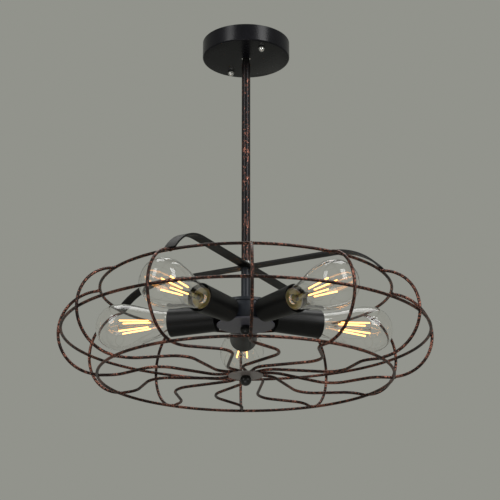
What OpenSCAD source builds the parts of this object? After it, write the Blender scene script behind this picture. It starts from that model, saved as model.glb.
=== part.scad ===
// Caged pendant light with five clear bulbs, in millimetres.
// The origin is the centre of the ceiling mount, on the ceiling plane, and everything hangs down along -Z.

/* [Cage] */
// Diameter over the bulging ribs
cage_d = 500; // [440:1:620]
// Height of the cage, between the centres of its top and bottom rings
cage_h = 117.6; // [100:0.1:150]
// Diameter of the top and bottom rings, between wire centres
ring_d = 389; // [340:1:420]
// Diameter of all the cage wire
wire_d = 4; // [3:0.1:5]
// Number of rib pairs, each pair standing opposite each other
rib_pairs = 6; // [6]
// How far the rib ends sit from the ring centres, towards mid height
rib_end_drop = 1.6; // [0:0.1:2.4]
// Upper face of the straps down to the centre of the top ring
top_ring_below = 37.4; // [34:0.1:50]

/* [Base wires] */
// Radius at which a base wire starts, over the medallion
wave_start_r = 13; // [11:0.5:16]
// Radius of the inner bend
wave_in_r = 38; // [34:0.5:42]
// Sideways shift of the inner bend
wave_in_y = -7; // [-8:0.5:0]
// How far inside the bottom ring a base wire swings out furthest
wave_mid_in = 79.5; // [70:0.5:90]
// Furthest sideways swing, before its bend is rounded
wave_mid_y = 45; // [20:1:48]
// How far inside the bottom ring the outer bend lies
wave_out_in = 26; // [20:0.5:36]
// Rounding of the inner, middle and outer bends
wave_bends = [26, 26, 18];
// Rise of a base wire from the ring to the medallion
wave_rise = 4.3; // [0:0.1:8]

/* [Medallion and finials] */
// Diameter of the medallion under the base wires
medallion_d = 46; // [40:1:60]
// Thickness of the medallion
medallion_t = 1.6; // [1:0.1:3]
// Diameter of the screwed ball finials
ball_d = 15; // [13:0.5:20]
// Height of a ball above its centre, where it is cut flat
ball_cut = 5.5; // [4:0.1:6]
// Diameter of the stud under the medallion
medallion_stud_d = 5; // [3:0.5:6]

/* [Cross straps] */
// Width of a strap
strap_w = 15.5; // [10:0.5:24]
// Thickness of a strap
strap_t = 2.5; // [1.5:0.1:4]
// Radius of the bend at each end of a strap
strap_bend_r = 90; // [75:1:110]
// How much further a strap bends past its touch on the ring, in degrees
strap_end_turn = 0.5; // [0.2:0.1:0.8]

/* [Rod and stem] */
// Diameter of the down rod
rod_d = 12; // [11.5:0.1:14]
// Length of the down rod
rod_l = 294; // [200:1:420]
// Bare nipple between the canopy and the rod
nipple_show = 7.2; // [4:0.1:12]
// Diameter of the ceiling nipple
ceiling_thread_d = 10; // [9:0.1:10.5]
// Diameter of the nipples that join the rod, the straps, the stem and the hub
joint_thread_d = 8; // [7:0.1:8.5]
// Bore of every nipple
nipple_bore_d = 5.4; // [5:0.1:5.8]
// Diameter of the stem below the straps
stem_d = 12.6; // [11.5:0.1:15]
// Length of the stem
stem_l = 50; // [40:1:80]
// Depth to which a nipple is screwed into the rod or the stem
screw_depth = 13; // [8:0.5:16]
// Width across the flats of the clamp nuts
clamp_nut_af = 12; // [11.5:0.5:15]
// Height of the clamp nuts
clamp_nut_h = 4.5; // [3:0.1:6]

/* [Canopy and ceiling bar] */
// Diameter of the canopy
canopy_d = 122; // [115:1:160]
// Height of the canopy
canopy_h = 24; // [20:0.5:40]
// Wall of the canopy
canopy_wall = 1.2; // [0.8:0.1:2]
// Outer rounding of the canopy's lower edge
canopy_round = 2; // [1.5:0.1:4]
// Angle of the ceiling bar about Z, in degrees
bar_angle = -63; // [-90:1:90]
// Distance between the two canopy studs
stud_spacing = 89; // [82:0.5:92]
// Diameter of the canopy studs
stud_d = 4; // [3:0.1:5]
// Diameter of the cap nuts
cap_nut_d = 9.2; // [8:0.1:12]
// Height of a cap nut's straight skirt
cap_nut_skirt = 3; // [2:0.1:5]
// Ceiling bar width
bar_w = 20; // [16:0.5:26]
// Ceiling bar thickness
bar_t = 2; // [1.5:0.1:3]
// Distance between the two ceiling box screw holes
box_hole_spacing = 70; // [60:0.5:72]
// Diameter of the ceiling box screw holes
box_hole_d = 5; // [4:0.1:5.5]

/* [Hub] */
// Diameter of the hub drum
drum_d = 68; // [60:1:76]
// Height of the hub drum
drum_h = 28.6; // [26:0.1:40]
// Wall of the hub drum
drum_wall = 1.5; // [1:0.1:3]
// Thickness of the drum's top plate
drum_top_t = 4; // [2:0.1:5]
// How far the top plate stands out past the drum
drum_lip = 1.5; // [0:0.1:2.5]
// How far the hub cover stands out past the drum
cover_lip = 4.5; // [1:0.1:5.5]
// Thickness of the hub cover
cover_t = 2; // [1:0.1:3]

/* [Sockets and bulbs] */
// Number of sockets
socket_n = 5; // [5]
// Height of the socket axes above the underside of the hub cover
socket_rise = 12.6; // [11:0.1:20]
// Distance from the drum to the closed end of a cup
cup_back = 6.5; // [5.6:0.1:12]
// Length of a cup
cup_l = 65; // [60:0.5:80]
// How much wider a cup's mouth is than its closed end
cup_flare = 5; // [3:0.5:12]
// Wall of a cup
cup_wall = 1.2; // [0.8:0.1:1.6]
// Diameter of the neck between a cup and the drum
neck_d = 14; // [12:0.5:18]
// Largest diameter of a bulb
bulb_d = 63; // [56:0.5:64]
// Length of a bulb, from its contact to its tip
bulb_l = 140; // [130:1:142]
// Depth of a bulb below the cup's mouth, to its contact
bulb_depth = 33.5; // [32:0.5:36]
// Diameter of a bulb's screw base
base_d = 26; // [25.8:0.1:26.4]
// Length of a bulb's screw base
base_l = 21; // [18:0.5:22]
// Diameter of a bulb's glass where it leaves the cup
neck_glass_d = 32; // [28:0.5:33]
// Wall of the bulb glass
glass_t = 1; // [0.7:0.1:1.4]

/* [Clearances] */
// Radial clearance of a turning or sliding fit
run_gap = 0.08; // [0.03:0.01:0.1]
// Radial clearance of a screwed joint that stays put
thread_gap = 0.05; // [0:0.01:0.1]
// Clearance round a lampholder at the closed end of its cup
cup_play = 0.47; // [0.2:0.01:1]
// Gap between faces of pieces that move past each other
face_gap = 0.2; // [0.1:0.05:0.5]

/* [Hidden] */
$fn = 72;

// The stack on the axis, from the ceiling down.
canopy_top_z = -0.3;
canopy_z = canopy_top_z - canopy_h;
rod_top_z = canopy_z - nipple_show;
rod_z = rod_top_z - rod_l;
strap_top_z = rod_z - clamp_nut_h;
stem_top_z = strap_top_z - 2 * strap_t;
stem_z = stem_top_z - stem_l;

wire_r = wire_d / 2;
ring_r = ring_d / 2;
top_ring_z = strap_top_z - top_ring_below;
bottom_ring_z = top_ring_z - cage_h;
middle_z = top_ring_z - cage_h / 2;

// A rib is one arc through its two ends, on the outside of the rings, and its furthest point.
rib_end_r = ring_r + wire_r;
rib_out_r = cage_d / 2 - wire_r;
rib_chord = cage_h - 2 * rib_end_drop;
rib_sag = rib_out_r - rib_end_r;
rib_bend_r = (rib_chord * rib_chord / 4 + rib_sag * rib_sag) / (2 * rib_sag);
rib_centre_r = rib_out_r - rib_bend_r;
rib_half = acos((rib_end_r - rib_centre_r) / rib_bend_r);
middle_ring_r = rib_out_r - wire_d;

// The base wires end against the inside of the bottom ring.
wave_end_r = ring_r - wire_r;
wave_end_z = bottom_ring_z + 0.5;
wave_tilt = asin(wave_rise / (wave_end_r - wave_start_r));
wave_mid_r = ring_r - wave_mid_in;
wave_out_r = ring_r - wave_out_in;
wave_points = [[wave_start_r, 0], [wave_in_r, wave_in_y], [wave_mid_r, wave_mid_y],
               [wave_out_r, 0], [wave_end_r, 0]];
medallion_top_z = wave_end_z + (wave_end_r - medallion_d / 2) * sin(wave_tilt) - wire_r - 0.05;
medallion_z = medallion_top_z - medallion_t;

drum_z = stem_z - drum_h;
cover_z = drum_z - cover_t;
cover_d = drum_d + 2 * cover_lip;
socket_z = cover_z + socket_rise;
cable_r = 2;
lead_r = 1.5;
locknut_h = 3;

// Distances along a socket's own axis, from the hub axis outwards.
cup_start = drum_d / 2 + cup_back;
cup_end = cup_start + cup_l;
contact_u = cup_end - bulb_depth;
eyelet_t = 2;
insulator_t = 2;
base_u = contact_u + eyelet_t + insulator_t + face_gap;
base_end = base_u + base_l;
bulb_tip = contact_u + bulb_l;
bulb_r = bulb_d / 2;
bulge_u = bulb_tip - bulb_r;
insert_wall_u = contact_u - 14;
insert_floor_u = contact_u - 6;
shell_t = 0.55;
shell_r = base_d / 2 + run_gap;
insert_r = shell_r + shell_t + 1.2;
cup_rear_d = 2 * (insert_r + cup_play + cup_wall);
cup_mouth_d = cup_rear_d + cup_flare;
lead_hole_r = 2.4;
bend_steps = 6;
wire_sides = 8;

BLACK = [0.09, 0.09, 0.10];
SLATE = [0.20, 0.21, 0.23];
COPPER = [0.25, 0.14, 0.10];
ZINC = [0.75, 0.75, 0.76];
BRASS = [0.80, 0.65, 0.35];

// A straight tube on the Z axis.
module tube(outer_r, inner_r, low, high) {
    difference() {
        translate([0, 0, low]) cylinder(r = outer_r, h = high - low);
        translate([0, 0, low - 1]) cylinder(r = inner_r, h = high - low + 2);
    }
}

// Puts its children at socket k, with their Z axis pointing out of the socket.
module at_socket(k) {
    rotate([0, 0, 90 + (k - 1) * 360 / socket_n])
        translate([0, 0, socket_z])
            rotate([0, 90, 0])
                children();
}

// A round wire bent into a full ring.
module wire_ring(radius, height) {
    translate([0, 0, height])
        rotate_extrude()
            translate([radius, 0]) circle(r = wire_r);
}

function unit(v) = v / norm(v);
function heading(v) = atan2(v[1], v[0]);
function wrapped(angle) = angle > 180 ? angle - 360 : angle < -180 ? angle + 360 : angle;
// Half of the corner's opening angle at point i of a path.
function corner_half(path, i) =
    acos(unit(path[i - 1] - path[i]) * unit(path[i + 1] - path[i])) / 2;
// Points along the rounded corner at point i of a path.
function bend_points(path, radius, i) =
    let (
        back = unit(path[i - 1] - path[i]),
        ahead = unit(path[i + 1] - path[i]),
        half = corner_half(path, i),
        centre = path[i] + unit(back + ahead) * radius / sin(half),
        start = heading(path[i] + back * radius / tan(half) - centre),
        end = heading(path[i] + ahead * radius / tan(half) - centre),
        sweep = wrapped(end - start)
    )
    [for (j = [0 : bend_steps])
        centre + radius * [cos(start + sweep * j / bend_steps), sin(start + sweep * j / bend_steps)]];
// A path in the XY plane with every inner corner rounded.
function rounded_path(path, bends) = concat(
    [path[0]],
    [for (i = [1 : len(path) - 2]) each bend_points(path, bends[i - 1], i)],
    [path[len(path) - 1]]);

// A wire swept along points in the XY plane, as one closed mesh.
module swept_wire(points) {
    last = len(points) - 1;
    rings = [for (i = [0 : last])
        let (
            along = unit(points[min(i + 1, last)] - points[max(i - 1, 0)]),
            side = [-along[1], along[0]]
        )
        for (j = [0 : wire_sides - 1])
            let (a = (j + 0.5) * 360 / wire_sides, out = wire_r * cos(a))
            [points[i][0] + side[0] * out, points[i][1] + side[1] * out, wire_r * sin(a)]];
    walls = [for (i = [0 : last - 1], j = [0 : wire_sides - 1])
        let (next = (j + 1) % wire_sides, low = i * wire_sides, high = low + wire_sides)
        each [[low + j, high + j, high + next], [low + j, high + next, low + next]]];
    first_cap = [for (j = [0 : wire_sides - 1]) j];
    last_cap = [for (j = [wire_sides - 1 : -1 : 0]) last * wire_sides + j];
    polyhedron(points = rings, faces = concat(walls, [first_cap, last_cap]));
}

// A ball cut flat on top, with a blind hole for the stud that it screws onto.
module ball_finial(top_z, stud_r, hole_depth) {
    difference() {
        translate([0, 0, top_z - ball_cut]) sphere(d = ball_d);
        translate([0, 0, top_z]) cylinder(d = ball_d + 1, h = ball_d);
        translate([0, 0, top_z - hole_depth]) cylinder(r = stud_r + run_gap, h = hole_depth + 1);
    }
}

module ceiling_bar() {
    bar_l = stud_spacing + 12;
    color(ZINC) rotate([0, 0, bar_angle])
        difference() {
            translate([-bar_l / 2, -bar_w / 2, -bar_t]) cube([bar_l, bar_w, bar_t]);
            translate([0, 0, -bar_t - 1])
                cylinder(r = ceiling_thread_d / 2 + thread_gap, h = bar_t + 2);
            for (side = [-1, 1]) {
                translate([side * box_hole_spacing / 2, 0, -bar_t - 1])
                    cylinder(d = box_hole_d, h = bar_t + 2);
                translate([side * stud_spacing / 2, 0, -bar_t - 1])
                    cylinder(r = stud_d / 2 + thread_gap, h = bar_t + 2);
            }
            translate([box_hole_spacing / 4, -bar_w / 4, -bar_t - 1])
                cylinder(r = stud_d / 2 + thread_gap, h = bar_t + 2);
        }
}

// The two canopy studs and the ground screw.
module bar_screws() {
    stud_l = -canopy_z + cap_nut_skirt + 1.4;
    color(ZINC) rotate([0, 0, bar_angle]) {
        for (side = [-1, 1])
            translate([side * stud_spacing / 2, 0, -stud_l]) {
                cylinder(d = stud_d, h = stud_l);
                // The nut that locks the stud under the bar
                translate([0, 0, stud_l - bar_t - 3]) cylinder(d = stud_d + 3.6, h = 3, $fn = 6);
            }
        translate([box_hole_spacing / 4, -bar_w / 4, -bar_t - 2.6]) cylinder(d = 7.4, h = 2.6);
        translate([box_hole_spacing / 4, -bar_w / 4, -bar_t]) cylinder(d = stud_d, h = bar_t);
    }
}

module ceiling_nipple() {
    color(BLACK) tube(ceiling_thread_d / 2, nipple_bore_d / 2, rod_top_z - screw_depth, 0);
}

module ceiling_locknut() {
    color(ZINC) translate([0, 0, -bar_t - locknut_h])
        difference() {
            cylinder(r = ceiling_thread_d / 2 + 3, h = locknut_h, $fn = 6);
            translate([0, 0, -1])
                cylinder(r = ceiling_thread_d / 2 + thread_gap, h = locknut_h + 2);
        }
}

// A round cup with a rounded lower edge, open at the ceiling.
module canopy() {
    outer_r = canopy_d / 2;
    inner_round = canopy_round - canopy_wall;
    color(BLACK) difference() {
        union() {
            translate([0, 0, canopy_z + canopy_round])
                cylinder(r = outer_r, h = canopy_h - canopy_round);
            translate([0, 0, canopy_z]) cylinder(r = outer_r - canopy_round, h = canopy_h);
            translate([0, 0, canopy_z + canopy_round])
                rotate_extrude() translate([outer_r - canopy_round, 0]) circle(r = canopy_round);
        }
        translate([0, 0, canopy_z + canopy_wall])
            cylinder(r = outer_r - canopy_wall - inner_round, h = canopy_h);
        translate([0, 0, canopy_z + canopy_round])
            cylinder(r = outer_r - canopy_wall, h = canopy_h);
        translate([0, 0, canopy_z - 1]) cylinder(r = rod_d / 2 + run_gap, h = canopy_wall + 2);
        rotate([0, 0, bar_angle])
            for (side = [-1, 1])
                translate([side * stud_spacing / 2, 0, canopy_z - 1])
                    cylinder(r = stud_d / 2 + run_gap, h = canopy_wall + 2);
    }
}

// A domed nut under the canopy, on the stud at the given side of the bar.
module cap_nut(side) {
    top_z = canopy_z - face_gap;
    hole_depth = cap_nut_skirt + 1.6;
    color(ZINC) rotate([0, 0, bar_angle]) translate([side * stud_spacing / 2, 0, 0])
        difference() {
            union() {
                translate([0, 0, top_z - cap_nut_skirt]) cylinder(d = cap_nut_d, h = cap_nut_skirt);
                translate([0, 0, top_z - cap_nut_skirt]) sphere(d = cap_nut_d - 0.8);
            }
            translate([0, 0, top_z]) cylinder(d = cap_nut_d, h = cap_nut_d);
            translate([0, 0, top_z - hole_depth])
                cylinder(r = stud_d / 2 + run_gap, h = hole_depth + 1);
        }
}

module down_rod() {
    color(COPPER) difference() {
        translate([0, 0, rod_z]) cylinder(d = rod_d, h = rod_l);
        translate([0, 0, rod_z - 1])
            cylinder(r = joint_thread_d / 2 + thread_gap, h = rod_l + 2);
        translate([0, 0, rod_top_z - screw_depth])
            cylinder(r = ceiling_thread_d / 2 + thread_gap, h = screw_depth + 1);
    }
}

module clamp_nut(low) {
    translate([0, 0, low])
        difference() {
            cylinder(r = clamp_nut_af / 2 / cos(30), h = clamp_nut_h, $fn = 6);
            translate([0, 0, -1])
                cylinder(r = joint_thread_d / 2 + thread_gap, h = clamp_nut_h + 2);
        }
}

// One nut over the straps, and one under the drum's top plate.
module clamp_nuts() {
    color(ZINC) {
        clamp_nut(strap_top_z);
        clamp_nut(stem_z - drum_top_t - clamp_nut_h);
    }
}

module cross_nipple() {
    color(ZINC) tube(joint_thread_d / 2, nipple_bore_d / 2, stem_top_z - screw_depth,
                     rod_z + screw_depth);
}

// A flat strap whose two ends bend down in long arcs onto the outside of the top ring.
module cross_strap(top_z, angle) {
    bend_z = top_z - strap_t / 2 - strap_bend_r;
    reach = strap_bend_r - strap_t / 2 - wire_r;
    rise = bend_z - top_ring_z;
    across = sqrt(reach * reach - rise * rise);
    // Rounded to a hundredth, so that the bend starts exactly on the flat stretch's end
    bend_at = round((ring_r - across) * 100) / 100;
    turn = 90 + atan2(rise, across) + strap_end_turn;
    inner_r = strap_bend_r - strap_t / 2;
    color(BLACK) rotate([0, 0, angle])
        difference() {
            union() {
                translate([-bend_at, -strap_w / 2, top_z - strap_t])
                    cube([2 * bend_at, strap_w, strap_t]);
                for (side = [0, 180])
                    rotate([0, 0, side])
                        translate([bend_at, -strap_w / 2, bend_z])
                            rotate([-90, -90, 0])
                                rotate_extrude(angle = turn)
                                    translate([inner_r, 0]) square([strap_t, strap_w]);
            }
            translate([0, 0, top_z - strap_t - 1])
                cylinder(r = joint_thread_d / 2 + thread_gap, h = strap_t + 2);
        }
}

module cross_strap_upper() {
    cross_strap(strap_top_z, 60);
}

module cross_strap_lower() {
    cross_strap(strap_top_z - strap_t, -30);
}

module stem_tube() {
    color(SLATE) tube(stem_d / 2, joint_thread_d / 2 + thread_gap, stem_z, stem_top_z);
}

// A hollow threaded tube from the stem through the hub, with a side hole for the cable.
module hub_nipple() {
    color(ZINC) difference() {
        tube(joint_thread_d / 2, nipple_bore_d / 2, cover_z - ball_cut - 2, stem_z + screw_depth);
        translate([0, 0, socket_z]) rotate([0, 90, 0]) cylinder(r = cable_r + 0.2, h = 10);
    }
}

module hub_drum() {
    outer_r = drum_d / 2;
    color(SLATE) difference() {
        union() {
            translate([0, 0, drum_z]) cylinder(r = outer_r, h = drum_h);
            translate([0, 0, stem_z - drum_top_t]) cylinder(r = outer_r + drum_lip, h = drum_top_t);
        }
        translate([0, 0, drum_z - 1])
            cylinder(r = outer_r - drum_wall, h = drum_h - drum_top_t + 1);
        translate([0, 0, drum_z]) cylinder(r = joint_thread_d / 2 + thread_gap, h = drum_h + 1);
        for (k = [1 : socket_n])
            at_socket(k) translate([0, 0, outer_r - 8]) cylinder(r = lead_hole_r, h = 16);
    }
}

// The flat cover under the drum, with a rim that centres it.
module hub_cover() {
    rim_r = drum_d / 2 - drum_wall - 0.1;
    color(SLATE) difference() {
        union() {
            translate([0, 0, cover_z]) cylinder(d = cover_d, h = cover_t);
            tube(rim_r, rim_r - 1.2, drum_z - 0.5, drum_z + 2.5);
        }
        translate([0, 0, cover_z - 1])
            cylinder(r = joint_thread_d / 2 + thread_gap, h = cover_t + 2);
    }
}

module hub_finial() {
    color(BLACK) ball_finial(cover_z - face_gap, joint_thread_d / 2, ball_cut + 2.6);
}

// The cable inside the rod, turning out through the hub nipple's side hole.
module supply_cable() {
    color(BLACK) {
        translate([0, 0, socket_z]) cylinder(r = cable_r, h = -socket_z - 1);
        translate([0, 0, socket_z]) rotate([0, 90, 0]) cylinder(r = cable_r, h = 8.2);
        translate([0, 0, socket_z]) sphere(r = cable_r);
    }
}

// The wiring loop in the hub and one lead to each socket.
module socket_harness() {
    color(BLACK) {
        translate([0, 0, socket_z]) rotate_extrude() translate([10, 0]) circle(r = lead_r);
        for (k = [1 : socket_n])
            at_socket(k) translate([0, 0, 10]) cylinder(r = lead_r, h = insert_floor_u - 10);
    }
}

// A tapered cup with a neck that fits against the drum.
module socket_cup(k) {
    inner_start = cup_start + cup_wall * 1.5;
    taper = (cup_mouth_d - cup_rear_d) / 2 / cup_l;
    color(BLACK) difference() {
        at_socket(k)
            difference() {
                union() {
                    translate([0, 0, cup_start])
                        cylinder(d1 = cup_rear_d, d2 = cup_mouth_d, h = cup_l);
                    translate([0, 0, drum_d / 2 - 6])
                        cylinder(d = neck_d, h = cup_start - drum_d / 2 + 7);
                }
                translate([0, 0, inner_start])
                    cylinder(r1 = cup_rear_d / 2 + (inner_start - cup_start) * taper - cup_wall,
                             r2 = cup_mouth_d / 2 + taper - cup_wall, h = cup_end - inner_start + 1);
                translate([0, 0, drum_d / 2 - 7]) cylinder(r = lead_hole_r, h = 20);
            }
        translate([0, 0, drum_z - 20]) cylinder(d = drum_d, h = drum_h + 40);
    }
}

// The insulating bodies that hold the screw shells, each on a stub from its cup's closed end.
module lampholder_inserts() {
    stub_start = cup_start + cup_wall * 1.5;
    color([0.85, 0.83, 0.78])
        for (k = [1 : socket_n])
            at_socket(k)
                difference() {
                    union() {
                        translate([0, 0, insert_wall_u])
                            cylinder(r = insert_r, h = base_end - insert_wall_u);
                        translate([0, 0, stub_start])
                            cylinder(r = 6, h = insert_wall_u - stub_start + 1);
                    }
                    translate([0, 0, insert_floor_u])
                        cylinder(r = shell_r + shell_t, h = base_end);
                    translate([0, 0, stub_start - 1])
                        cylinder(r = lead_hole_r, h = insert_floor_u);
                }
}

module screw_shells() {
    color(BRASS)
        for (k = [1 : socket_n])
            at_socket(k) tube(shell_r + shell_t, shell_r, contact_u - 1, base_end - 0.5);
}

// The sprung contacts on the floors of the inserts.
module centre_contacts() {
    color(BRASS)
        for (k = [1 : socket_n])
            at_socket(k) {
                translate([0, 0, insert_floor_u]) cylinder(r = 5, h = 0.8);
                translate([0, 0, insert_floor_u])
                    cylinder(r = 2, h = contact_u - insert_floor_u - face_gap);
            }
}

module rib(angle) {
    rotate([0, 0, angle])
        translate([rib_centre_r, 0, middle_z])
            rotate([90, 0, 0])
                rotate([0, 0, -rib_half])
                    rotate_extrude(angle = 2 * rib_half)
                        translate([rib_bend_r, 0]) circle(r = wire_r);
}

module rib_pair(k) {
    angle = (k - 1) * 180 / rib_pairs;
    color(COPPER) {
        rib(angle);
        rib(angle + 180);
    }
}

module top_ring() {
    color(COPPER) wire_ring(ring_r, top_ring_z);
}

module middle_ring() {
    color(COPPER) wire_ring(middle_ring_r, middle_z);
}

module bottom_ring() {
    color(COPPER) wire_ring(ring_r, bottom_ring_z);
}

// One wavy wire for each rib, rising a little towards the medallion.
module base_wires() {
    color(COPPER)
        for (k = [0 : 2 * rib_pairs - 1])
            rotate([0, 0, k * 180 / rib_pairs])
                translate([wave_end_r, 0, wave_end_z])
                    rotate([0, wave_tilt, 0])
                        translate([-wave_end_r, 0, 0])
                            swept_wire(rounded_path(wave_points, wave_bends));
}

module medallion() {
    color([0.35, 0.31, 0.31]) {
        translate([0, 0, medallion_z]) cylinder(d = medallion_d, h = medallion_t);
        translate([0, 0, medallion_z - ball_cut - 2])
            cylinder(d = medallion_stud_d, h = ball_cut + 3);
    }
}

module medallion_finial() {
    color(BLACK) ball_finial(medallion_z - face_gap, medallion_stud_d / 2, ball_cut + 2.6);
}

// The eyelet and the insulator at the end of a bulb.
module bulb_contact(k) {
    color(BRASS) at_socket(k) {
        translate([0, 0, contact_u]) cylinder(r = 4.8, h = eyelet_t);
        translate([0, 0, contact_u + eyelet_t]) cylinder(r1 = 8, r2 = base_d / 2 - 1.2, h = insulator_t);
    }
}

module bulb_base(k) {
    color(BRASS) at_socket(k)
        difference() {
            translate([0, 0, base_u]) cylinder(d = base_d, h = base_l);
            translate([0, 0, base_u + 1.5]) cylinder(r = base_d / 2 - 0.8, h = base_l);
        }
}

glass_start = base_end - 4;
glass_in_base_r = base_d / 2 - 0.9;
neck_r = neck_glass_d / 2;
shoulder_u = base_end + 4;
// Radius of the glass outside at u, from the shoulder to the bulge.
function glass_r(u) =
    neck_r + (bulb_r - neck_r) * (1 - cos(180 * (u - shoulder_u) / (bulge_u - shoulder_u))) / 2;
body_steps = 14;
dome_steps = 10;
// The outline of the glass, from its open end to its tip, moved inwards by the given inset.
function glass_line(inset) = concat(
    [[glass_in_base_r - inset, glass_start], [glass_in_base_r - inset, base_end]],
    [for (i = [0 : body_steps])
        let (u = shoulder_u + (bulge_u - shoulder_u) * i / body_steps) [glass_r(u) - inset, u]],
    [for (i = [1 : dome_steps - 1])
        let (a = 90 * i / dome_steps)
        [(bulb_r - inset) * cos(a), bulge_u + (bulb_r - inset) * sin(a)]],
    [[0, bulb_tip - inset]]);

module bulb_glass(k) {
    outside = glass_line(0);
    inside = glass_line(glass_t);
    last = len(inside) - 1;
    color([0.9, 0.9, 0.88, 0.35]) at_socket(k)
        rotate_extrude()
            polygon(concat(outside, [for (i = [0 : last]) inside[last - i]]));
}

filament_n = 4;
stem_end = base_end + 34;
filament_start = stem_end + 4;
filament_l = 42;

// The glass stem, the lead wires and the glowing sticks inside a bulb.
module bulb_filaments(k) {
    foot_z = base_end - 2;
    color([1.0, 0.75, 0.4]) at_socket(k) {
        translate([0, 0, foot_z]) cylinder(r1 = 8, r2 = 3, h = 10);
        translate([0, 0, foot_z]) cylinder(r = 2.4, h = stem_end - foot_z);
        for (i = [0 : filament_n - 1])
            rotate([0, 0, 45 + i * 360 / filament_n]) {
                translate([0, 0, stem_end - 3]) rotate([0, 45, 0]) cylinder(r = 0.6, h = 9.5);
                translate([6.2, 0, filament_start - 1]) rotate([0, 6, 0])
                    cylinder(r = 1.2, h = filament_l);
            }
    }
}

ceiling_bar();
bar_screws();
ceiling_nipple();
ceiling_locknut();
canopy();
cap_nut(-1);  // cap_nut_left
cap_nut(1);  // cap_nut_right
down_rod();
clamp_nuts();
cross_nipple();
cross_strap_upper();
cross_strap_lower();
stem_tube();
hub_nipple();
hub_drum();
hub_cover();
hub_finial();
supply_cable();
socket_harness();
lampholder_inserts();
screw_shells();
centre_contacts();
top_ring();
middle_ring();
bottom_ring();
base_wires();
medallion();
medallion_finial();
for (k = [1 : rib_pairs])
    rib_pair(k);
for (k = [1 : socket_n]) {
    socket_cup(k);
    bulb_contact(k);
    bulb_base(k);
    bulb_glass(k);
    bulb_filaments(k);
}
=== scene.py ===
"""The looks of a caged pendant light with clear filament bulbs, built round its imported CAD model."""

import math

import bmesh
import bpy
from mathutils import Matrix, Vector


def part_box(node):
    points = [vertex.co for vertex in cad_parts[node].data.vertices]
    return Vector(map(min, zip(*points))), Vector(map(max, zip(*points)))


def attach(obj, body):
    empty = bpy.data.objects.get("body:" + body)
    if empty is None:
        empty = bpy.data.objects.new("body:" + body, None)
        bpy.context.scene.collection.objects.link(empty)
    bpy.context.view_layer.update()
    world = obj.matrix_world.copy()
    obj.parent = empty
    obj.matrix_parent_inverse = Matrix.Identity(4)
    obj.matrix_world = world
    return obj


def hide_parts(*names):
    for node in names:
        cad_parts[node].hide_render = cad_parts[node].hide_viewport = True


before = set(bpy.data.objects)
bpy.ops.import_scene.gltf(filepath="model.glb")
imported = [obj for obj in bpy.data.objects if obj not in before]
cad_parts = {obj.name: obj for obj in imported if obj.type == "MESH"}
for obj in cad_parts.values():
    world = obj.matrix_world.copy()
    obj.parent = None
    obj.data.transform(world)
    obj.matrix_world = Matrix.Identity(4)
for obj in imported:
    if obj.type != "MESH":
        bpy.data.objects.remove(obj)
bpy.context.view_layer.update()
scene = bpy.context.scene

MM = 0.001
SOCKETS = 5
RIBS = 12
STICKS = 4

# The bulbs: the pitch of their screw thread, their glass and their filament sticks.
THREAD_PITCH = 3.629 * MM
NECK_R = 16 * MM
GLASS_WALL = 1.0 * MM
STICK_LENGTH = 40.5 * MM
STICK_R = 0.98 * MM
SUPPORT_R = 0.28 * MM
MAST_R = 0.55 * MM

# A base wire's path seen from above, in mm: its start, its three corners and their rounding.
WAVE_START = 13
WAVE_CORNERS = ((38, -7), (115.4, 46.2), (168.9, -0.6))
WAVE_BENDS = (26, 31, 32)
ARC_STEPS = 12


# ---------------------------------------------------------------- camera, lights and backdrop

def add_camera():
    data = bpy.data.cameras.new("camera")
    data.lens = 111.7
    data.sensor_width = 36
    camera = bpy.data.objects.new("camera", data)
    scene.collection.objects.link(camera)
    camera.location = (-0.0602, -1.9776, -0.9961)
    camera.rotation_euler = (math.radians(109.1535), 0, math.radians(-1.9055))
    scene.camera = camera


def area_light(name, place, target, size, power):
    data = bpy.data.lights.new(name, "AREA")
    data.shape = "RECTANGLE"
    data.size, data.size_y = size
    data.energy = power
    lamp = bpy.data.objects.new(name, data)
    scene.collection.objects.link(lamp)
    lamp.location = place
    # Seen through clear glass, a softbox would fill a whole bulb with white.
    lamp.visible_transmission = False
    lamp.rotation_euler = (Vector(target) - Vector(place)).to_track_quat("-Z", "Y").to_euler()


def add_studio():
    world = bpy.data.worlds.new("studio")
    world.use_nodes = True
    background = world.node_tree.nodes["Background"]
    background.inputs["Color"].default_value = (0.287, 0.292, 0.262, 1)
    background.inputs["Strength"].default_value = 1.0
    scene.world = world
    scene.view_settings.view_transform = "Standard"
    centre = (0, 0, -0.38)
    area_light("softbox_right", (1.45, -1.65, 0.75), centre, (0.8, 1.9), 36)
    area_light("softbox_left", (-1.45, -1.5, 0.55), centre, (0.6, 1.7), 19)
    area_light("softbox_top", (0.1, 0.5, 1.5), centre, (1.6, 1.2), 18)
    area_light("softbox_low", (-0.4, -1.5, -1.9), centre, (1.4, 0.8), 7)

    mesh = bpy.data.meshes.new("floor")
    # Low enough that a view from underneath isn't blocked.
    half, height = 6.0, -2.8
    corners = [(-half, -half, height), (half, -half, height), (half, half, height), (-half, half, height)]
    mesh.from_pydata(corners, [], [(0, 1, 2, 3)])
    floor = bpy.data.objects.new("floor", mesh)
    scene.collection.objects.link(floor)
    material, _ = shader("floor_paint", {"Base Color": (0.55, 0.55, 0.53, 1), "Roughness": 0.9})
    mesh.materials.append(material)


# ---------------------------------------------------------------- materials

def shader(name, values):
    """A new material and its shader, with these values on the shader's own sockets."""
    material = bpy.data.materials.new(name)
    material.use_nodes = True
    bsdf = material.node_tree.nodes["Principled BSDF"]
    for socket, value in values.items():
        bsdf.inputs[socket].default_value = value
    return material, bsdf


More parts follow.
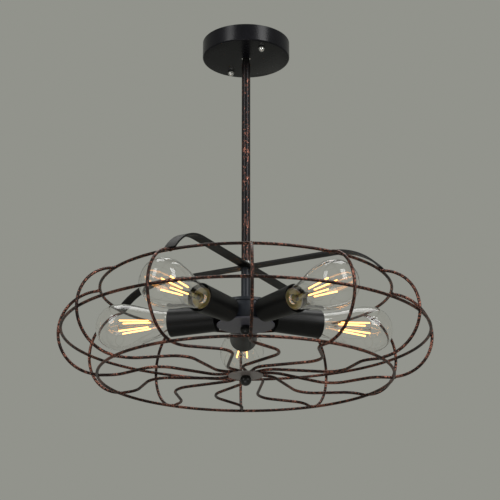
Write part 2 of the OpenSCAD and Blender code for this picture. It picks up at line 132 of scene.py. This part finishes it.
def noise(tree, scale, detail, roughness, stretch=(1, 1, 1)):
    """Noise in the object's own metres. stretch squeezes it along an axis."""
    place = tree.nodes.new("ShaderNodeTexCoord")
    mapping = tree.nodes.new("ShaderNodeMapping")
    mapping.inputs["Scale"].default_value = stretch
    texture = tree.nodes.new("ShaderNodeTexNoise")
    texture.inputs["Scale"].default_value = scale
    texture.inputs["Detail"].default_value = detail
    texture.inputs["Roughness"].default_value = roughness
    tree.links.new(place.outputs["Object"], mapping.inputs["Vector"])
    tree.links.new(mapping.outputs["Vector"], texture.inputs["Vector"])
    return texture.outputs["Fac"]


def between(tree, value, low, high, out_low=0.0, out_high=1.0):
    """value spread from low..high to out_low..out_high."""
    spread = tree.nodes.new("ShaderNodeMapRange")
    for socket, number in (("From Min", low), ("From Max", high), ("To Min", out_low), ("To Max", out_high)):
        spread.inputs[socket].default_value = number
    tree.links.new(value, spread.inputs["Value"])
    return spread.outputs["Result"]


def maths(tree, operation, first, second):
    node = tree.nodes.new("ShaderNodeMath")
    node.operation = operation
    for socket, value in zip(node.inputs, (first, second)):
        if isinstance(value, (int, float)):
            socket.default_value = value
        else:
            tree.links.new(value, socket)
    return node.outputs[0]


def mixed(tree, factor, first, second):
    """A colour between two, each a tuple or a socket."""
    node = tree.nodes.new("ShaderNodeMix")
    node.data_type = "RGBA"
    tree.links.new(factor, node.inputs["Factor"])
    for name, value in (("A", first), ("B", second)):
        socket = [s for s in node.inputs if s.name == name and s.type == "RGBA"][0]
        if isinstance(value, tuple):
            socket.default_value = (*value, 1)
        else:
            tree.links.new(value, socket)
    return [s for s in node.outputs if s.type == "RGBA"][0]


def bump(tree, bsdf, height, depth, strength=1.0):
    node = tree.nodes.new("ShaderNodeBump")
    node.inputs["Distance"].default_value = depth
    node.inputs["Strength"].default_value = strength
    tree.links.new(height, node.inputs["Height"])
    tree.links.new(node.outputs["Normal"], bsdf.inputs["Normal"])


def rubbed_copper(name, rubbed, scale, dark, light, along=(1, 1, 1)):
    """Paint between dark and light, rubbed through in fine flakes to copper.

    rubbed sets how much copper shows, and the amount drifts over the surface. along stretches
    the flakes along an axis."""
    material, bsdf = shader(name, {"Specular IOR Level": 0.25})
    tree = material.node_tree
    fine = noise(tree, scale, 6, 0.66, along)
    drift = noise(tree, 26, 2, 0.5)
    edge = between(tree, drift, 0.32, 0.68, 0.60 - 0.20 * rubbed, 0.46 - 0.20 * rubbed)
    mask = between(tree, maths(tree, "SUBTRACT", fine, edge), 0.0, 0.08)
    grain = noise(tree, scale * 2.5, 3, 0.6)
    paint = mixed(tree, grain, dark, light)
    copper = mixed(tree, grain, (0.09, 0.033, 0.024), (0.40, 0.17, 0.12))
    tree.links.new(mixed(tree, mask, paint, copper), bsdf.inputs["Base Color"])
    tree.links.new(between(tree, mask, 0, 1, 0.5, 0.85), bsdf.inputs["Metallic"])
    tree.links.new(between(tree, grain, 0.3, 0.7, 0.26, 0.42), bsdf.inputs["Roughness"])
    bump(tree, bsdf, maths(tree, "SUBTRACT", 1.0, mask), 0.00006)
    return material


def satin_paint(name, dark, light, roughness, shine=0.5):
    """Sprayed paint with a fine orange-peel surface and a slightly uneven colour and gloss."""
    material, bsdf = shader(name, {"Specular IOR Level": shine})
    tree = material.node_tree
    cloud = noise(tree, 22, 4, 0.6)
    grain = noise(tree, 420, 3, 0.5)
    tone = maths(tree, "ADD", maths(tree, "MULTIPLY", cloud, 0.6), maths(tree, "MULTIPLY", grain, 0.4))
    tree.links.new(mixed(tree, between(tree, tone, 0.35, 0.65), dark, light), bsdf.inputs["Base Color"])
    gloss = between(tree, cloud, 0.3, 0.7, roughness - 0.05, roughness + 0.06)
    tree.links.new(gloss, bsdf.inputs["Roughness"])
    bump(tree, bsdf, grain, 0.00004)
    return material


def plated(name, colour, roughness, metallic=1.0):
    """Bare or plated metal with fine scratches."""
    material, bsdf = shader(name, {"Metallic": metallic})
    tree = material.node_tree
    scratch = noise(tree, 900, 3, 0.6)
    cloud = noise(tree, 60, 3, 0.5)
    darker = tuple(0.72 * c for c in colour)
    tone = mixed(tree, between(tree, cloud, 0.3, 0.7), darker, colour)
    tree.links.new(tone, bsdf.inputs["Base Color"])
    gloss = between(tree, scratch, 0.3, 0.7, roughness * 0.7, roughness * 1.4)
    tree.links.new(gloss, bsdf.inputs["Roughness"])
    bump(tree, bsdf, scratch, 0.00001)
    return material


def clear_glass(name):
    """Clear blown glass with faint streaks in its surface."""
    material, bsdf = shader(name, {"Base Color": (1.0, 0.995, 0.985, 1), "Roughness": 0.0, "IOR": 1.47,
                                   "Transmission Weight": 1.0})
    tree = material.node_tree
    bump(tree, bsdf, noise(tree, 55, 2, 0.4), 0.00035, 0.35)
    return material


def moulded(name, dark, light, roughness):
    """Moulded insulating plastic or rubber with a fine grain."""
    material, bsdf = shader(name, {})
    tree = material.node_tree
    grain = noise(tree, 700, 3, 0.5)
    tree.links.new(mixed(tree, grain, dark, light), bsdf.inputs["Base Color"])
    bsdf.inputs["Roughness"].default_value = roughness
    bump(tree, bsdf, grain, 0.00005)
    return material


def glowing(name, strength):
    """The glowing coat of a filament stick, mottled between two shades of amber."""
    material, bsdf = shader(name, {"Roughness": 0.5, "Emission Strength": strength})
    tree = material.node_tree
    grain = noise(tree, 900, 2, 0.5)
    colour = mixed(tree, grain, (1.0, 0.36, 0.08), (1.0, 0.52, 0.16))
    tree.links.new(colour, bsdf.inputs["Base Color"])
    tree.links.new(colour, bsdf.inputs["Emission Color"])
    return material


# ---------------------------------------------------------------- mesh helpers

def new_piece(name, bm, material, body, smooth_angle=40):
    """A piece from a bmesh, shaded smooth up to an angle in degrees, riding on a body."""
    bmesh.ops.recalc_face_normals(bm, faces=bm.faces)
    mesh = bpy.data.meshes.new(name)
    bm.to_mesh(mesh)
    bm.free()
    mesh.materials.append(material)
    for face in mesh.polygons:
        face.use_smooth = True
    mesh.set_sharp_from_angle(angle=math.radians(smooth_angle))
    piece = bpy.data.objects.new(name, mesh)
    scene.collection.objects.link(piece)
    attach(piece, body)
    return piece


def soften(piece, width):
    """Rounds a piece's hard edges by width."""
    bevel = piece.modifiers.new("edges", "BEVEL")
    bevel.width = width
    bevel.segments = 2
    bevel.limit_method = "ANGLE"
    bevel.angle_limit = math.radians(40)
    bevel.harden_normals = True


def finished(node, material, body="frame", edge=0.0):
    """A cleaned copy of a CAD node with smooth shading and softened edges, standing for it."""
    bm = bmesh.new()
    bm.from_mesh(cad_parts[node].data)
    bmesh.ops.remove_doubles(bm, verts=bm.verts, dist=0.000002)
    bmesh.ops.dissolve_limit(bm, angle_limit=math.radians(0.6), verts=bm.verts, edges=bm.edges)
    piece = new_piece(node + "_finish", bm, material, body)
    if edge:
        soften(piece, edge)
    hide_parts(node)
    return piece


def revolve(bm, profile, place, steps, loop=False):
    """Adds a surface of revolution to bm.

    profile is (radius, height) points, joined into a loop if loop is true."""
    rings = []
    for radius, height in profile:
        if radius < 1e-7:
            rings.append([bm.verts.new(place @ Vector((0, 0, height)))])
            continue
        ring = []
        for i in range(steps):
            angle = 2 * math.pi * i / steps
            point = Vector((radius * math.cos(angle), radius * math.sin(angle), height))
            ring.append(bm.verts.new(place @ point))
        rings.append(ring)
    pairs = list(zip(rings, rings[1:]))
    if loop:
        pairs.append((rings[-1], rings[0]))
    for low, high in pairs:
        if len(low) == len(high) == 1:
            continue
        for i in range(steps):
            j = (i + 1) % steps
            if len(low) == 1:
                bm.faces.new((low[0], high[i], high[j]))
            elif len(high) == 1:
                bm.faces.new((low[i], high[0], low[j]))
            else:
                bm.faces.new((low[i], high[i], high[j], low[j]))


def lathe(name, profile, place, steps, material, body, smooth_angle=40, loop=False):
    """A piece that is one surface of revolution."""
    bm = bmesh.new()
    revolve(bm, profile, place, steps, loop)
    return new_piece(name, bm, material, body, smooth_angle)


def sweep(bm, points, radius, sides):
    """Adds a round wire to bm along points, with rounded ends."""
    frames = []
    side = None
    for i, point in enumerate(points):
        along = (points[min(i + 1, len(points) - 1)] - points[max(i - 1, 0)]).normalized()
        if side is None:
            side = along.orthogonal().normalized()
        side = (side - along * side.dot(along)).normalized()
        frames.append((point, side.copy(), along.cross(side), along))
    rings = []
    first, last = frames[0], frames[-1]
    stations = [(first[0] - first[3] * radius * 0.6, first, radius * 0.55)]
    stations += [(station[0], station, radius) for station in frames]
    stations += [(last[0] + last[3] * radius * 0.6, last, radius * 0.55)]
    for point, (_, across, up, _), size in stations:
        rings.append([
            bm.verts.new(point + size * (across * math.cos(2 * math.pi * j / sides)
                                         + up * math.sin(2 * math.pi * j / sides)))
            for j in range(sides)])
    for low, high in zip(rings, rings[1:]):
        for j in range(sides):
            k = (j + 1) % sides
            bm.faces.new((low[j], low[k], high[k], high[j]))
    bm.faces.new(rings[0][::-1])
    bm.faces.new(rings[-1])


def turned(angle):
    """A turn about the light's axis, in degrees."""
    return Matrix.Rotation(math.radians(angle), 4, "Z")


# ---------------------------------------------------------------- places taken from the frame

def middle(node):
    low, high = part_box(node)
    return [(a + b) / 2 for a, b in zip(low, high)]


socket_z = middle("bulb_1_glass")[2]


def socket_place(k):
    """The frame of socket k: its Z axis points out of the socket, from the light's axis."""
    return turned(90 + (k - 1) * 360 / SOCKETS) @ Matrix.Translation((0, 0, socket_z)) @ Matrix.Rotation(
        math.radians(90), 4, "Y")


# Distances along the first socket's axis, which lies along +Y.
contact_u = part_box("bulb_1_contact")[0][1]
base_u, base_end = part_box("bulb_1_base")[0][1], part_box("bulb_1_base")[1][1]
bulb_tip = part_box("bulb_1_glass")[1][1]
bulb_r = (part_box("bulb_1_glass")[1][0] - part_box("bulb_1_glass")[0][0]) / 2
base_r = (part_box("bulb_1_base")[1][0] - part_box("bulb_1_base")[0][0]) / 2


# ---------------------------------------------------------------- the bulbs

def glass_profile(inset):
    """The outline of a bulb's glass, moved in by inset, from its open end to its tip."""
    shoulder, bulge = base_end + 4 * MM, bulb_tip - bulb_r
    mouth_r = base_r - 0.9 * MM - inset
    points = [(mouth_r, base_end - 4 * MM), (mouth_r, base_end - 0.2 * MM)]
    body, dome = 26, 18
    for i in range(body + 1):
        share = i / body
        grown = (1 - math.cos(math.pi * share)) / 2
        points.append((NECK_R + (bulb_r - NECK_R) * grown - inset, shoulder + (bulge - shoulder) * share))
    for i in range(1, dome):
        angle = math.pi / 2 * i / dome
        points.append(((bulb_r - inset) * math.cos(angle), bulge + (bulb_r - inset) * math.sin(angle)))
    points.append((0, bulb_tip - inset))
    return points


def threaded_base(bm, place):
    """A brass shell with a rolled screw thread, closed at its inner end."""
    around, depth = 56, 0.75 * MM
    length = base_end - base_u
    rows = int(length / (0.45 * MM))
    rings = []
    for row in range(rows + 1):
        height = base_u + length * row / rows
        fade = min(1, (height - base_u) / (2.5 * MM), (base_end - height) / (3 * MM))
        ring = []
        for i in range(around):
            phase = 2 * math.pi * ((height - base_u) / THREAD_PITCH - i / around)
            radius = base_r - depth * max(0, fade) * (1 - math.cos(phase)) / 2
            angle = 2 * math.pi * i / around
            point = Vector((radius * math.cos(angle), radius * math.sin(angle), height))
            ring.append(bm.verts.new(place @ point))
        rings.append(ring)
    for low, high in zip(rings, rings[1:]):
        for i in range(around):
            j = (i + 1) % around
            bm.faces.new((low[i], low[j], high[j], high[i]))
    bm.faces.new(rings[0][::-1])
    inner = [(base_r - 0.02 * MM, base_end), (base_r - 0.85 * MM, base_end + 0.1 * MM),
             (base_r - 1.7 * MM, base_end - 0.6 * MM)]
    revolve(bm, inner, place, around)


def filament_sticks():
    """The two ends of each glowing stick, in a socket's frame."""
    start = base_end + 39 * MM
    for i in range(STICKS):
        angle = math.radians(45 + i * 360 / STICKS)
        out = Vector((math.cos(angle), math.sin(angle), 0))
        low = out * 6.4 * MM + Vector((0, 0, start))
        high = out * 10.4 * MM + Vector((0, 0, start + STICK_LENGTH))
        yield low, high


def add_bulb(k, looks):
    """Bulb k: its glass, base, stem, filament sticks with their supports, and its contact."""
    place = socket_place(k)
    body = f"bulb_{k}"

    shell = glass_profile(0) + glass_profile(GLASS_WALL)[::-1]
    glass = lathe(f"bulb_{k}_envelope", shell, place, 72, looks["glass"], body, 60, loop=True)
    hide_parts(f"bulb_{k}_glass")

    bm = bmesh.new()
    threaded_base(bm, place)
    base = new_piece(f"bulb_{k}_screw_base", bm, looks["brass"], body, 50)
    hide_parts(f"bulb_{k}_base")

    # The glass stem flares at its foot, in the neck, and ends in a blunt tip.
    foot = base_end - 1 * MM
    flare = [(0, foot), (10.6 * MM, foot), (10.7 * MM, foot + 0.6 * MM), (7.6 * MM, foot + 3 * MM),
             (5.2 * MM, foot + 8 * MM), (3.9 * MM, foot + 14 * MM), (3.3 * MM, foot + 22 * MM),
             (2.9 * MM, foot + 31 * MM), (2.2 * MM, foot + 33.4 * MM), (0, foot + 34 * MM)]
    lathe(f"bulb_{k}_stem", flare, place, 36, looks["glass"], body, 60)

    # A bright dished ring seals the neck round the stem.
    dish = [(4.6 * MM, base_end + 0.3 * MM), (11.0 * MM, base_end + 0.5 * MM),
            (14.0 * MM, base_end + 3.6 * MM), (14.3 * MM, base_end + 3.4 * MM),
            (11.2 * MM, base_end + 0.1 * MM), (4.6 * MM, base_end - 0.1 * MM)]
    lathe(f"bulb_{k}_neck_ring", dish, place, 48, looks["dish"], body, 50, loop=True)

    # The thick bead of glass inside the neck, made opaque and pale: a painted reflection of the softboxes in
    # the clear glass there.
    bead_r, bead_sides = 0.7 * MM, 8
    bead_painted_reflection = []
    for i in range(bead_sides):
        angle = 2 * math.pi * i / bead_sides
        bead_painted_reflection.append((14.1 * MM + bead_r * math.cos(angle), base_end + 4.4 * MM + bead_r * math.sin(angle)))
    lathe(f"bulb_{k}_neck_bead_painted_reflection", bead_painted_reflection, place, 48, looks["bead_painted_reflection"], body, 70, loop=True)

    # The wires that hold the sticks: from the stem to each one, and from each to the mast's tip.
    bm = bmesh.new()
    top_hub = Vector((0, 0, base_end + 84 * MM))
    for low, high in filament_sticks():
        knee = Vector((low.x * 0.9, low.y * 0.9, low.z - 4 * MM))
        root = Vector((low.x * 0.18, low.y * 0.18, base_end + 27 * MM))
        sweep(bm, [place @ p for p in (root, knee, low)], SUPPORT_R, 6)
        rise = high + Vector((0, 0, 1.6 * MM))
        sweep(bm, [place @ p for p in (high, rise, top_hub)], SUPPORT_R, 6)
    mast = [Vector((0, 0, base_end + 30 * MM)), top_hub]
    sweep(bm, [place @ p for p in mast], MAST_R, 8)
    new_piece(f"bulb_{k}_supports", bm, looks["wire"], body)

    # The sticks themselves.
    bm = bmesh.new()
    for low, high in filament_sticks():
        steps = [low.lerp(high, i / 8) for i in range(9)]
        sweep(bm, [place @ p for p in steps], STICK_R, 10)
    sticks = new_piece(f"bulb_{k}_sticks", bm, looks["glow"], body, 60)
    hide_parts(f"bulb_{k}_filaments")

    # The eyelet at the end of the base, and the dark glass insulator round it.
    tip_body = f"bulb_{k}_travel"
    step = 2 * MM
    cone = [(4.9 * MM, contact_u + step * 0.9), (8.2 * MM, contact_u + step),
            (base_r - 1.2 * MM, contact_u + 2 * step), (0, contact_u + 2 * step)]
    lathe(f"bulb_{k}_insulator", cone, place, 48, looks["insulator"], tip_body)
    button = [(0, contact_u), (3.2 * MM, contact_u + 0.15 * MM), (4.6 * MM, contact_u + 0.9 * MM),
              (4.8 * MM, contact_u + step), (0, contact_u + step)]
    eyelet = lathe(f"bulb_{k}_eyelet", button, place, 36, looks["brass"], tip_body)
    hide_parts(f"bulb_{k}_contact")


# ---------------------------------------------------------------- the cage

def rounded(corners, radii):
    """Points along a path in a plane, with every inner corner rounded by its own radius."""
    path = [corners[0]]
    for before, corner, after, radius in zip(corners, corners[1:], corners[2:], radii):
        back, ahead = (before - corner).normalized(), (after - corner).normalized()
        half = back.angle(ahead) / 2
        reach = radius / math.tan(half)
        centre = corner + (back + ahead).normalized() * radius / math.sin(half)
        start, end = corner + back * reach - centre, corner + ahead * reach - centre
        turn = start.angle(end)
        for i in range(ARC_STEPS + 1):
            share = i / ARC_STEPS
            swung = start * math.sin((1 - share) * turn) + end * math.sin(share * turn)
            path.append(centre + swung / math.sin(turn))
    return path + [corners[-1]]


def add_base_wires(material):
    """Twelve wavy wires from the bottom ring in to the medallion."""
    low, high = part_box("base_wires")
    wire = (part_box("bottom_ring")[1][2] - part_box("bottom_ring")[0][2]) / 2
    start, end = WAVE_START * MM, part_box("bottom_ring")[1][0] - 3 * wire
    # How much higher a wire's inner end lies than its outer end.
    rise = (high[2] - low[2]) - 2 * wire
    corners = [Vector((start, 0, 0))] + [Vector((x * MM, y * MM, 0)) for x, y in WAVE_CORNERS]
    corners.append(Vector((end, 0, 0)))
    flat = rounded(corners, [bend * MM for bend in WAVE_BENDS])
    bm = bmesh.new()
    for i in range(RIBS):
        place = turned(i * 360 / RIBS)
        points = []
        for point in flat:
            lift = rise * (end - point.x) / (end - start)
            points.append(place @ Vector((point.x, point.y, low[2] + wire + lift)))
        sweep(bm, points, wire, 12)
    wires = new_piece("base_wires_bent", bm, material, "frame", 60)
    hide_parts("base_wires")


def add_cage(material):
    for node in ("top_ring", "middle_ring", "bottom_ring"):
        finished(node, material)
    add_base_wires(material)
    for pair in range(1, RIBS // 2 + 1):
        finished(f"rib_pair_{pair}", material)


def add_welds(material):
    """Small beads where the ribs, the rings, the base wires and the straps meet."""
    wire = (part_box("top_ring")[1][2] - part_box("top_ring")[0][2]) / 2
    ring_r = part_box("top_ring")[1][0] - wire
    top_z, bottom_z = middle("top_ring")[2], middle("bottom_ring")[2]
    middle_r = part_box("middle_ring")[1][0] - wire
    middle_z = middle("middle_ring")[2]
    beads = []
    for i in range(RIBS):
        angle = i * 360 / RIBS
        beads.append((angle, ring_r + wire * 0.7, top_z - wire * 0.4, 1.25))
        beads.append((angle, ring_r + wire * 0.7, bottom_z + wire * 0.4, 1.25))
        beads.append((angle, middle_r + wire, middle_z, 1.0))
        beads.append((angle, ring_r - wire * 0.9, bottom_z + wire * 0.2, 1.2))
    bm = bmesh.new()
    for number, (angle, radius, height, size) in enumerate(beads):
        lump = 1 + 0.12 * math.sin(number * 2.4)
        place = turned(angle) @ Matrix.Translation((radius, 0, height)) @ Matrix.Diagonal(
            (wire * size * lump, wire * size * 1.25, wire * size * 0.95, 1))
        bmesh.ops.create_icosphere(bm, subdivisions=2, radius=1, matrix=place)
    new_piece("cage_welds", bm, material, "frame", 80)


# ---------------------------------------------------------------- small turned pieces

def add_cap_nut(node, material):
    """A domed nut with a chamfered hexagon against the canopy."""
    low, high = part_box(node)
    x, y, _ = middle(node)
    top, bottom = high[2], low[2]
    corner = (high[0] - low[0]) / 2
    skirt = 3 * MM
    bm = bmesh.new()
    place = Matrix.Translation((x, y, 0))
    hexagon = [(2.1 * MM, top), (corner * 0.93, top), (corner, top - 0.35 * MM),
               (corner, top - skirt * 0.8), (corner * 0.9, top - skirt)]
    revolve(bm, hexagon, place, 6)
    dome_r = corner * 0.86
    dome_h = top - skirt - bottom
    dome = []
    for i in range(10):
        angle = math.pi / 2 * i / 10
        dome.append((dome_r * math.cos(angle), top - skirt * 0.97 - dome_h * math.sin(angle)))
    dome.append((0, bottom))
    revolve(bm, dome, place, 32)
    nut = new_piece(node + "_domed", bm, material, node)
    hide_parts(node)


def build():
    """Makes the materials, then every visible piece of the light."""
    rubbed_wire = rubbed_copper("rubbed_wire", 0.10, 380, (0.006, 0.0035, 0.003), (0.026, 0.013, 0.010))
    rubbed_rod = rubbed_copper(
        "rubbed_rod", -0.16, 460, (0.005, 0.0046, 0.005), (0.018, 0.0155, 0.0165), (1, 1, 0.5))
    satin_black = satin_paint("satin_black", (0.0045, 0.0045, 0.006), (0.008, 0.008, 0.011), 0.27, 0.17)
    matte_black = satin_paint("matte_black", (0.004, 0.0036, 0.0034), (0.008, 0.0072, 0.0068), 0.42, 0.18)
    cup_black = satin_paint("cup_black", (0.0022, 0.0022, 0.0022), (0.005, 0.005, 0.0048), 0.40, 0.22)
    ball_black = satin_paint("ball_black", (0.005, 0.005, 0.005), (0.009, 0.009, 0.009), 0.34, 0.4)
    slate = satin_paint("slate", (0.010, 0.012, 0.017), (0.018, 0.022, 0.030), 0.40, 0.30)
    # A lighter copy of the slate paint for the hub cover's downward face: painted light, standing for the
    # light it catches from below.
    cover_slate_painted_lighter = satin_paint("cover_slate_painted_lighter", (0.064, 0.062, 0.080), (0.096, 0.094, 0.118), 0.42)
    antique = satin_paint("antique_grey", (0.15, 0.13, 0.125), (0.22, 0.19, 0.18), 0.42)
    zinc = plated("zinc", (0.62, 0.62, 0.63), 0.28)
    chrome = plated("chrome", (0.83, 0.82, 0.80), 0.08)
    brass = plated("brass", (0.86, 0.62, 0.22), 0.26)
    wire = plated("support_wire", (0.72, 0.68, 0.62), 0.3)
    cream = moulded("moulded_insulator", (0.62, 0.58, 0.48), (0.74, 0.70, 0.60), 0.5)
    rubber = moulded("cable_sheath", (0.012, 0.012, 0.012), (0.022, 0.022, 0.022), 0.55)
    looks = {"glass": clear_glass("clear_glass"), "brass": brass, "wire": wire,
             "glow": glowing("glowing_filament", 4.6),
             # The neck bead's pale opaque colour is a painted reflection on clear glass.
             "bead_painted_reflection": moulded("glass_bead_painted_reflection", (0.44, 0.41, 0.34), (0.60, 0.57, 0.49), 0.18),
             "dish": plated("neck_ring", (0.66, 0.60, 0.24), 0.48, metallic=0.55),
             "insulator": moulded("dark_insulator", (0.01, 0.009, 0.012), (0.02, 0.018, 0.024), 0.25)}

    finished("canopy", satin_black, "canopy")
    for node in ("cap_nut_left", "cap_nut_right"):
        add_cap_nut(node, chrome)
    for node in ("ceiling_bar", "bar_screws", "ceiling_locknut", "clamp_nuts"):
        finished(node, zinc, edge=0.0003)
    for node in ("cross_nipple", "hub_nipple"):
        finished(node, zinc)
    finished("ceiling_nipple", matte_black)
    finished("down_rod", rubbed_rod, edge=0.0003)
    for node in ("cross_strap_upper", "cross_strap_lower"):
        finished(node, matte_black, edge=0.0004)
    finished("stem_tube", slate, edge=0.0003)
    finished("hub_drum", slate)
    # The cover's lighter slate is painted light from below.
    finished("hub_cover", cover_slate_painted_lighter, edge=0.0004)
    finished("hub_finial", ball_black, "hub_finial")
    finished("medallion", antique, edge=0.0003)
    finished("medallion_finial", ball_black, "medallion_finial")
    for node in ("supply_cable", "socket_harness"):
        finished(node, rubber)
    finished("lampholder_inserts", cream)
    for node in ("screw_shells", "centre_contacts"):
        finished(node, brass)
    for k in range(1, SOCKETS + 1):
        finished(f"socket_cup_{k}", cup_black)
        add_bulb(k, looks)
    add_cage(rubbed_wire)
    add_welds(rubbed_wire)


add_camera()
add_studio()
build()
bpy.context.view_layer.update()
